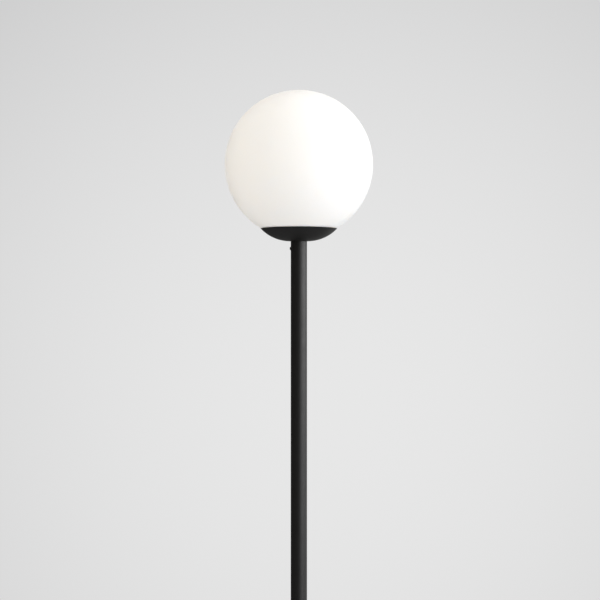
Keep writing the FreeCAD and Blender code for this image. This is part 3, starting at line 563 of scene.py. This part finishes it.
def makeCover():
    # The spun cover: a low crown, a rounded edge and a hole for the lead's bush.
    radius, low, high = sizeOf("base_cover")
    wall = coverShape["wall"]
    edge = coverShape["edgeRound"]
    shoulder = high - coverShape["crown"]
    bottom = coverShape["bottomRound"]
    profile = [(radius - wall, low), (radius - bottom, low), (radius, low + bottom)]
    profile += arc(radius - edge, shoulder - edge, edge, 0, 90, 12)
    profile += [(coverShape["flat"], high), (coverShape["hole"], high), (coverShape["hole"], high - wall),
                (coverShape["flat"], high - wall)]
    profile += arc(radius - edge, shoulder - edge, edge - wall, 90, 0, 8)
    piece = turnPiece("base_skin", profile, segments=192, closed=True)
    bushLow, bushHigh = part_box("lead_gland")
    centre = Vector((0, radius, (bushLow[2] + bushHigh[2]) / 2))
    cutWith(piece, cutterRod(coverShape["bushHole"], coverShape["bushHoleDepth"], centre, 'Y'))
    smooth(piece)
    standFor(piece, "base_cover", finishes["black_coat"])


bushShape = {
    "bore": 3.3 * mm,
    "body": 4.1 * mm,
    "flange": 1.2 * mm,
    "lip": 0.5 * mm,
    "catch": (2.4 * mm, 3.4 * mm),        # where the snap catch starts and ends, from the inner end
}


def makeBush():
    # The snap bush in the back of the base, turned upright and laid along +Y.
    low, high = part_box("lead_gland")
    flangeRadius = (high[0] - low[0]) / 2
    bore, body, lip = bushShape["bore"], bushShape["body"], bushShape["lip"]
    length = high[1] - low[1]
    face = length - bushShape["flange"]
    catchStart, catchEnd = bushShape["catch"]
    profile = [(bore, 0), (body, 0), (body + lip, catchStart), (body + lip, catchEnd), (body, catchEnd),
               (body, face), (flangeRadius, face)]
    profile += arc(flangeRadius - lip, length - lip, lip, 0, 90, 5)
    profile += arc(bore + lip, length - lip, lip, 90, 180, 5)
    piece = turnPiece("lead_bush", profile, segments=72, closed=True)
    layDown(piece, Matrix.Rotation(-math.pi / 2, 4, 'X'), Vector((0, low[1], (low[2] + high[2]) / 2)))
    smooth(piece)
    standFor(piece, "lead_gland", finishes["black_bush"])


seatShape = {
    "inner": 35.0 * mm,
    "bowlCentre": (12.5 * mm, 53.68 * mm),        # centre of the bowl's curve, out from the axis and up
    "bowlCurve": 52.08 * mm,
    "edge": 0.3 * mm,
}


def makeSeatRing():
    # The silicone wedge between the bowl and the mouth of the globe. Its underside follows the bowl.
    radius, low, high = sizeOf("globe_seat_ring")
    inner, edge = seatShape["inner"], seatShape["edge"]
    middle, lift = seatShape["bowlCentre"]
    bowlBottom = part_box("shade_dish")[0][2]
    ends = [-math.degrees(math.acos((reach - middle) / seatShape["bowlCurve"])) for reach in (inner, radius)]
    under = arc(middle, bowlBottom + lift, seatShape["bowlCurve"], ends[0], ends[1], 6)
    profile = under + [(radius, high - edge), (radius - edge, high), (inner + edge, high),
                       (inner, high - edge)]
    piece = turnPiece("seat_ring", profile, segments=128, closed=True)
    smooth(piece)
    standFor(piece, "globe_seat_ring", finishes["silicone"])


clipShape = {
    "width": 10.0 * mm,
    "strip": 0.6 * mm,
    "foot": (20.49 * mm, 26.49 * mm),        # where the foot starts and ends, out from the axis
    "face": 33.43 * mm,                      # the part that presses on the glass
    "flat": 2.0 * mm,
    "leadIn": (1.9 * mm, 7.5 * mm),
    "faceLift": 8.155 * mm,                  # from the underside of the foot to the face
    "bend": 0.75 * mm,
    "softBend": 0.3 * mm,
    "corner": 1.6 * mm,
    "edge": 0.08 * mm,
    "hole": 1.6 * mm,
    "count": 3,
}


def makeClips():
    # One strip is bent up from its foot, gets its thickness, its rivet hole and soft edges, and is
    # copied round the axis.
    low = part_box("spring_clips")[0][2]
    footStart, footEnd = clipShape["foot"]
    leanIn, leanUp = clipShape["leadIn"]
    deselectAll()
    bpy.ops.mesh.primitive_plane_add(size=1, location=(0, 0, 0))
    piece = bpy.context.object
    piece.name = "spring_strips"
    editMode(piece)
    bpy.ops.mesh.select_all(action='SELECT')
    bpy.ops.transform.resize(value=(footEnd - footStart, clipShape["width"], 1), center_override=(0, 0, 0))
    bpy.ops.transform.translate(value=((footStart + footEnd) / 2, 0, low))
    pickEdges(piece, lambda first, last: min(first.x, last.x) > footEnd - near)
    for out, up in ((clipShape["face"] - footEnd, clipShape["faceLift"]), (0, clipShape["flat"]),
                    (-leanIn, leanUp)):
        bpy.ops.mesh.extrude_region_move(TRANSFORM_OT_translate={"value": (out, 0, up)})
    bends = [(footEnd, low), (clipShape["face"], low + clipShape["faceLift"])]

    def along(first, last, out, up):
        return all(abs(end.x - out) < near and abs(end.z - up) < near for end in (first, last))

    pickEdges(piece, lambda first, last: any(along(first, last, out, up) for out, up in bends))
    bpy.ops.mesh.bevel(offset=clipShape["bend"], segments=6)
    pickEdges(piece, lambda first, last: along(first, last, clipShape["face"],
                                               low + clipShape["faceLift"] + clipShape["flat"]))
    bpy.ops.mesh.bevel(offset=clipShape["softBend"], segments=4)
    # The two corners at the tip are rounded.
    tip = low + clipShape["faceLift"] + clipShape["flat"] + leanUp
    pickEdges(piece, lambda first, last: min(first.z, last.z) > tip - near)
    bpy.ops.mesh.select_mode(type='VERT')
    bpy.ops.mesh.bevel(offset=clipShape["corner"], segments=6, affect='VERTICES')
    objectMode()
    addModifier(piece, 'SOLIDIFY', thickness=clipShape["strip"], offset=1.0, use_even_offset=True)
    rivetPlace = Vector((rivetShape["circle"], 0, low))
    cutWith(piece, cutterRod(clipShape["hole"], 4 * clipShape["strip"], rivetPlace, 'Z'))
    addModifier(piece, 'BEVEL', width=clipShape["edge"], segments=2, limit_method='ANGLE',
                angle_limit=math.radians(40))
    copyRound(piece, clipShape["count"])
    smooth(piece)
    standFor(piece, "spring_clips", finishes["spring_steel"])


rivetShape = {
    "circle": 23.49 * mm,
    "shank": 1.5 * mm,
    "head": 2.0 * mm,
    "headRise": 0.7 * mm,
    "tail": 0.3 * mm,
    "edge": 0.12 * mm,
    "crownEnd": 88,          # degrees at which the dome's arc stops, just short of its top
}


def makeRivets():
    low, high = (corner[2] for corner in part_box("clip_rivets"))
    shank, head, edge = rivetShape["shank"], rivetShape["head"], rivetShape["edge"]
    under = high - rivetShape["headRise"]
    rise = rivetShape["headRise"] - edge
    bow = (head ** 2 + rise ** 2) / (2 * rise)
    outside = math.degrees(math.acos(head / bow))
    profile = [(onAxis, low), (head - edge, low), (head, low + edge), (head, low + rivetShape["tail"]),
               (shank, low + rivetShape["tail"]), (shank, under), (head, under)]
    profile += arc(0, high - bow, bow, outside, rivetShape["crownEnd"], 8) + [(onAxis, high)]
    piece = turnPiece("domed_rivets", profile, segments=40)
    layDown(piece, Matrix.Identity(4), Vector((rivetShape["circle"], 0, 0)))
    copyRound(piece, clipShape["count"])
    smooth(piece)
    standFor(piece, "clip_rivets", finishes["rivet_aluminium"])


holderShape = {
    "bore": 5.05 * mm,
    "neck": 9.0 * mm,
    "curve": 11.05 * mm,          # radius of the rounded lower end
    "curveHeight": 10.0 * mm,
    "shoulder": 16.0 * mm,
    "collar": 18.0 * mm,
    "inside": 16.0 * mm,
    "floor": 2.0 * mm,
    "boss": (8.0 * mm, 7.0 * mm),
    "lip": (14.3 * mm, 3.5 * mm),
    "insertTop": 25.0 * mm,
    "edge": 0.4 * mm,
    "mouthRound": 1.5 * mm,
    "columns": 144,
    "fluteFrom": 20.0 * mm,
    "fluteTo": 44.0 * mm,
    "fluteSink": 0.975,           # the grip flutes lie at this share of the radius
    "fluteColumns": 4,            # columns of faces to a flute and its rib
    "outside": 0.99,              # faces beyond this share of the radius are on the outside
    "fit": 0.05 * mm,             # room round the lower shell's collar
    "softEdge": 0.12 * mm,
}


def makeHolderDome():
    radius, low, high = sizeOf("holder_dome")
    shape = holderShape
    bossRadius, bossTop = shape["boss"]
    edge, curve = shape["edge"], shape["curve"]
    reach = math.degrees(math.acos((radius - shape["neck"]) / curve))
    profile = [(shape["bore"], low)] + arc(shape["neck"], low + curve, curve, -90, -reach, 14)
    profile += [(radius, low + shape["shoulder"] - edge), (radius - edge, low + shape["shoulder"]),
                (shape["collar"], low + shape["shoulder"]), (shape["collar"], high), (shape["inside"], high),
                (shape["inside"], low + shape["curveHeight"]), (shape["neck"], low + shape["floor"]),
                (bossRadius, low + shape["floor"]), (bossRadius, low + bossTop),
                (shape["bore"], low + bossTop)]
    piece = turnPiece("holder_base", profile, segments=128, closed=True)
    smooth(piece)
    standFor(piece, "holder_dome", finishes["holder_black"])


def makeHolderSkirt():
    # The upper shell, with shallow flutes all round to grip it by.
    radius, low, high = sizeOf("holder_skirt")
    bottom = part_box("holder_dome")[0][2]
    shape = holderShape
    lipRadius, lipDepth = shape["lip"]
    edge, mouth = shape["edge"], shape["mouthRound"]
    inside = shape["collar"] + shape["fit"]
    profile = [(inside, low), (radius - edge, low), (radius, low + edge),
               (radius, bottom + shape["fluteFrom"]), (radius, bottom + shape["fluteTo"])]
    profile += arc(radius - mouth, high - mouth, mouth, 0, 90, 8)
    profile += [(lipRadius + edge, high), (lipRadius, high - edge), (lipRadius, high - lipDepth),
                (shape["inside"], high - lipDepth), (shape["inside"], bottom + shape["insertTop"]),
                (inside, bottom + shape["insertTop"])]
    piece = turnPiece("fluted_skirt", profile, segments=shape["columns"], closed=True)
    column = math.tau / shape["columns"]

    def isFlute(face):
        height = face.center.z - bottom
        if face.center.xy.length < radius * shape["outside"]:
            return False
        if not shape["fluteFrom"] < height < shape["fluteTo"]:
            return False
        number = int((math.atan2(face.center.y, face.center.x) + math.pi) / column)
        return number % shape["fluteColumns"] < shape["fluteColumns"] / 2

    pickFaces(piece, isFlute)
    bpy.ops.mesh.extrude_region_move()
    sink = shape["fluteSink"]
    bpy.ops.transform.resize(value=(sink, sink, 1), center_override=(0, 0, (low + high) / 2))
    objectMode()
    addModifier(piece, 'BEVEL', width=shape["softEdge"], segments=2, limit_method='ANGLE',
                angle_limit=math.radians(40))
    smooth(piece)
    standFor(piece, "holder_skirt", finishes["holder_black"])


capShape = {
    "crest": 13.1 * mm,
    "root": 12.2 * mm,
    "pitch": 3.629 * mm,
    "mouth": 8.3 * mm,
    "coneTop": 3.0 * mm,
    "coneRound": 0.4 * mm,
    "wall": 0.5 * mm,
    "flare": 0.6 * mm,
    "threadFrom": 3.4 * mm,
    "threadTo": 20.5 * mm,
    "threadEnd": 1.6 * mm,        # the thread rises from nothing and fades out over this height
    "collarFrom": 21.6 * mm,
    "inside": 11.9 * mm,
    "stepsPerTurn": 14,
}


def makeCap():
    # The screw cap. Each ring of the wall is moved a little off the axis, one turn round it for each
    # pitch, which leaves a round thread.
    radius, low, high = sizeOf("bulb_cap")
    shape = capShape
    swing = (shape["crest"] - shape["root"]) / 2
    middle = shape["root"] + swing
    corner, wall = shape["coneRound"], shape["wall"]
    deselectAll()
    bpy.ops.mesh.primitive_circle_add(vertices=96, radius=shape["mouth"], location=(0, 0, 0))
    piece = bpy.context.object
    piece.name = "screw_cap"
    editMode(piece)
    bpy.ops.mesh.select_all(action='SELECT')
    bpy.ops.transform.translate(value=(0, 0, low))
    ringThrough([(shape["mouth"], low), (middle - corner, low + shape["coneTop"] - corner),
                 (middle, low + shape["coneTop"]), (middle, low + shape["threadFrom"])])
    step = shape["pitch"] / shape["stepsPerTurn"]
    height, x, y = shape["threadFrom"], 0.0, 0.0
    while height < shape["threadTo"] - step / 2:
        height += step
        fade = min(1, (height - shape["threadFrom"]) / shape["threadEnd"],
                   max(0, (shape["threadTo"] - height) / shape["threadEnd"]))
        turn = math.tau * height / shape["pitch"]
        nextX, nextY = swing * fade * math.cos(turn), swing * fade * math.sin(turn)
        bpy.ops.mesh.extrude_region_move(TRANSFORM_OT_translate={"value": (nextX - x, nextY - y, step)})
        x, y = nextX, nextY
    bpy.ops.transform.translate(value=(-x, -y, 0))
    ringThrough([(middle, low + height), (middle, low + shape["collarFrom"] - shape["flare"]),
                 (radius, low + shape["collarFrom"]), (radius, high), (shape["inside"], high),
                 (shape["inside"], low + shape["coneTop"] + wall), (shape["mouth"], low + wall),
                 (shape["mouth"], low)])
    mendMesh(piece)
    smooth(piece, 40)
    standFor(piece, "bulb_cap", finishes["nickel_brass"])


bulbShape = {
    "wall": 1.0 * mm,
    "neck": 13.4 * mm,
    "neckRing": 14.0 * mm,
    "ringHeight": 1.6 * mm,
    "capLength": 27.0 * mm,        # from the tip to the top of the cap
    "insideCap": 11.6 * mm,
    "board": 21.1 * mm,
    "boardThickness": 1.6 * mm,
    "curve": 53.06 * mm,           # of the neck, which runs into the dome
    "split": 60.0 * mm,            # from the tip to the seam
    "seam": 0.25 * mm,
    "seamTurn": 0.6,               # degrees of the dome's curve that its edge at the seam takes
    "crownEnd": 89.9,              # degrees at which the dome's arc stops, just short of its top
}


def makeHousing():
    # The neck of the bulb: a small ring on the cap, then a hollow curve that widens to the dome.
    radius, low, high = sizeOf("bulb_housing")
    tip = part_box("bulb_contact")[0][2]
    domeRadius = sizeOf("bulb_dome")[0]
    shape = bulbShape
    ring, seam = shape["neckRing"], shape["seam"]
    capTop = tip + shape["capLength"]
    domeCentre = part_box("bulb_dome")[1][2] - domeRadius
    dropped = domeCentre - (tip + shape["split"])
    # The curve's centre lies on the line from the dome's centre through the seam.
    outward = (radius / domeRadius, -dropped / domeRadius)
    centre = (radius + outward[0] * shape["curve"], tip + shape["split"] + outward[1] * shape["curve"])
    last = math.degrees(math.atan2(tip + shape["split"] - centre[1], radius - centre[0])) % 360
    neckTop = capTop + shape["ringHeight"]
    first = 180 + math.degrees(math.asin((centre[1] - neckTop) / shape["curve"]))
    curve = arc(centre[0], centre[1], shape["curve"], first, last, 24)
    profile = [(onAxis, low), (shape["insideCap"], low), (shape["insideCap"], capTop), (ring - seam, capTop),
               (ring, capTop + seam), (ring, neckTop - seam), (ring - seam, neckTop)]
    profile += curve[:-1] + [(radius - seam / 2, high - seam), (radius - seam, high), (shape["board"], high),
                             (shape["board"], high - shape["boardThickness"]),
                             (onAxis, high - shape["boardThickness"])]
    piece = turnPiece("bulb_neck", profile, segments=128)
    smooth(piece)
    standFor(piece, "bulb_housing", finishes["bulb_white"])


def makeDome():
    radius, low, high = sizeOf("bulb_dome")
    centre = high - radius
    seam, wall, crownEnd = bulbShape["seam"], bulbShape["wall"], bulbShape["crownEnd"]
    inside = radius - wall
    outerEnd = -math.degrees(math.asin((centre - low) / radius))
    innerEnd = -math.degrees(math.asin((centre - low) / inside))
    outer = arc(0, centre, radius, outerEnd + bulbShape["seamTurn"], crownEnd, 48)
    inner = arc(0, centre, inside, crownEnd, innerEnd, 40)
    profile = [(outer[0][0] - 2 * seam, low)] + outer + [(onAxis, high), (onAxis, high - wall)] + inner
    piece = turnPiece("milky_dome", profile, segments=128, closed=True)
    smooth(piece)
    standFor(piece, "bulb_dome", finishes["bulb_diffuser"])


makeGlobe()
print("globe made")
makeDish()
makePole()
makeSetScrew()
print("dish and pole made")
makeCover()
makeBush()
print("base made")
makeSeatRing()
makeClips()
makeRivets()
print("seat and clips made")
makeHolderDome()
makeHolderSkirt()
print("lampholder made")
makeCap()
makeHousing()
makeDome()
print("bulb made")


photo = {
    "width": 600,
    "globeX": 298.88,
    "globeY": 164.74,
    "globeRadius": 74.10,
    "distance": 1.756,        # metres from the lens to the pole, from the curve of the dish's rim
    "sensor": 36.0,
}


def makeCamera():
    # Level, looking along +Y. The globe's outline sets the lens and the camera's height.
    radius, _, top = sizeOf("globe")
    distance = photo["distance"]
    focus = photo["globeRadius"] * math.sqrt(distance ** 2 - radius ** 2) / radius
    middle = photo["width"] / 2
    across = (middle - photo["globeX"]) / focus * distance
    height = top - radius - (middle - photo["globeY"]) / focus * distance
    deselectAll()
    bpy.ops.object.camera_add(location=(across, -distance, height), rotation=(math.pi / 2, 0, 0))
    camera = bpy.context.object
    camera.data.sensor_width = photo["sensor"]
    camera.data.lens = focus * photo["sensor"] / photo["width"]
    camera.data.dof.use_dof = False
    camera.data.clip_end = 50
    bpy.context.scene.camera = camera


makeCamera()


studio = {
    "floorRadius": 2.6,
    "fadeFrom": 0.35,                         # the floor fades out between these two radii
    "fadeTo": 2.5,
    "glowCentre": (0.031, 1.0, -0.077),        # where the backdrop is brightest, as a direction
    "glow": (0.80, 0.80, 0.80),
    "edge": (0.57, 0.57, 0.573),
    "leftLight": (1.060, 0.995, 0.905),        # soft light from the left, warm off a wall
    "rightLight": (0.56, 0.565, 0.57),
    "glossSide": (0.62, 0.50, 0.60),          # the side of the room that shows in gloss
    "darkGloss": (0.05, 0.05, 0.05),
    "brightGloss": (0.80, 0.80, 0.79),
    "floorGloss": (0.20, 0.20, 0.20),         # what shows in gloss from below
    "head": (0, 0, 1.2),                      # what the softboxes are aimed at
}


softboxes = {
    "keySoftbox": {"place": (2.25, -0.45, 1.75), "size": (2.5, 1.7), "power": 37.0},
    "frontSoftbox": {"place": (1.7, -1.9, 0.85), "size": (2.0, 1.7), "power": 16.0},
    "topSoftbox": {"place": (0.3, -0.2, 3.4), "size": (2.0, 2.0), "power": 6.5},
}


def makeBackdrop():
    # The camera sees plain grey paper, a little brighter behind the lamp. The room's soft light is
    # warmer from the left, and in gloss the room is dim behind the camera and on the left.
    world = bpy.data.worlds.new("studioPaper")
    world.use_nodes = True
    bpy.context.scene.world = world
    nodes, links = world.node_tree.nodes, world.node_tree.links
    place = nodes.new("ShaderNodeTexCoord")
    paths = nodes.new("ShaderNodeLightPath")

    def gradient(towards, first, last, low, high):
        along = nodes.new("ShaderNodeVectorMath")
        along.operation = 'DOT_PRODUCT'
        along.inputs[1].default_value = Vector(towards).normalized()
        links.new(place.outputs["Generated"], along.inputs[0])
        ramp = nodes.new("ShaderNodeValToRGB")
        ends = ramp.color_ramp.elements
        ends[0].position, ends[0].color = low, (*first, 1)
        ends[1].position, ends[1].color = high, (*last, 1)
        links.new(along.outputs["Value"], ramp.inputs["Fac"])
        return ramp.outputs["Color"]

    def blendOf(factor, otherwise, colour, how='MIX'):
        blend = nodes.new("ShaderNodeMix")
        blend.data_type, blend.blend_type = 'RGBA', how
        if factor:
            links.new(factor, blend.inputs["Factor"])
        else:
            blend.inputs["Factor"].default_value = 1.0
        links.new(otherwise, blend.inputs[6])
        links.new(colour, blend.inputs[7])
        return blend.outputs[2]

    paper = gradient(studio["glowCentre"], studio["edge"], studio["glow"], low=0.90, high=1.0)
    softLight = gradient((1, 0, 0), studio["leftLight"], studio["rightLight"], low=0.0, high=0.8)
    gloss = gradient(studio["glossSide"], studio["darkGloss"], studio["brightGloss"], low=0.1, high=0.9)
    fromBelow = gradient((0, 0, -1), studio["darkGloss"], studio["floorGloss"], low=0.3, high=0.95)
    gloss = blendOf(None, gloss, fromBelow, 'LIGHTEN')
    room = blendOf(paths.outputs["Is Glossy Ray"], softLight, gloss)
    room = blendOf(paths.outputs["Is Camera Ray"], room, paper)
    links.new(room, nodes["Background"].inputs["Color"])


def makeFloor():
    # A pale floor that fades into the backdrop towards its edge.
    deselectAll()
    bpy.ops.mesh.primitive_circle_add(vertices=128, radius=studio["floorRadius"], fill_type='NGON')
    floor = bpy.context.object
    floor.name = "studio_floor"
    finish = newFinish("paleFloor", {"Specular IOR Level": 0.2})
    varyColour(finish, speckle(finish, 3, detail=2), (0.690, 0.705, 0.730), (0.730, 0.745, 0.770))
    varyRoughness(finish, speckle(finish, 12), 0.6, 0.75)
    nodes, links = finish.node_tree.nodes, finish.node_tree.links
    place = nodes.new("ShaderNodeTexCoord")
    away = nodes.new("ShaderNodeVectorMath")
    away.operation = 'LENGTH'
    links.new(place.outputs["Object"], away.inputs[0])
    fade = addNode(finish, "ShaderNodeMapRange", {"interpolation_type": 'SMOOTHSTEP'},
                   {"From Min": studio["fadeFrom"], "From Max": studio["fadeTo"],
                    "To Min": 1.0, "To Max": 0.0})
    links.new(away.outputs["Value"], fade.inputs["Value"])
    links.new(fade.outputs["Result"], shaderOf(finish).inputs["Alpha"])
    floor.data.materials.append(finish)
    floor.visible_glossy = False


def makeSoftbox(name):
    wanted = softboxes[name]
    deselectAll()
    bpy.ops.object.light_add(type='AREA', location=wanted["place"])
    box = bpy.context.object
    box.name = name
    box.data.shape = 'RECTANGLE'
    box.data.size, box.data.size_y = wanted["size"]
    box.data.energy = wanted["power"]
    aim = Vector(studio["head"]) - Vector(wanted["place"])
    box.rotation_euler = aim.to_track_quat('-Z', 'Y').to_euler()
    box.visible_camera = False


makeBackdrop()
makeFloor()
for name in softboxes:
    makeSoftbox(name)
bpy.context.scene.view_settings.view_transform = 'Standard'
print("studio made")
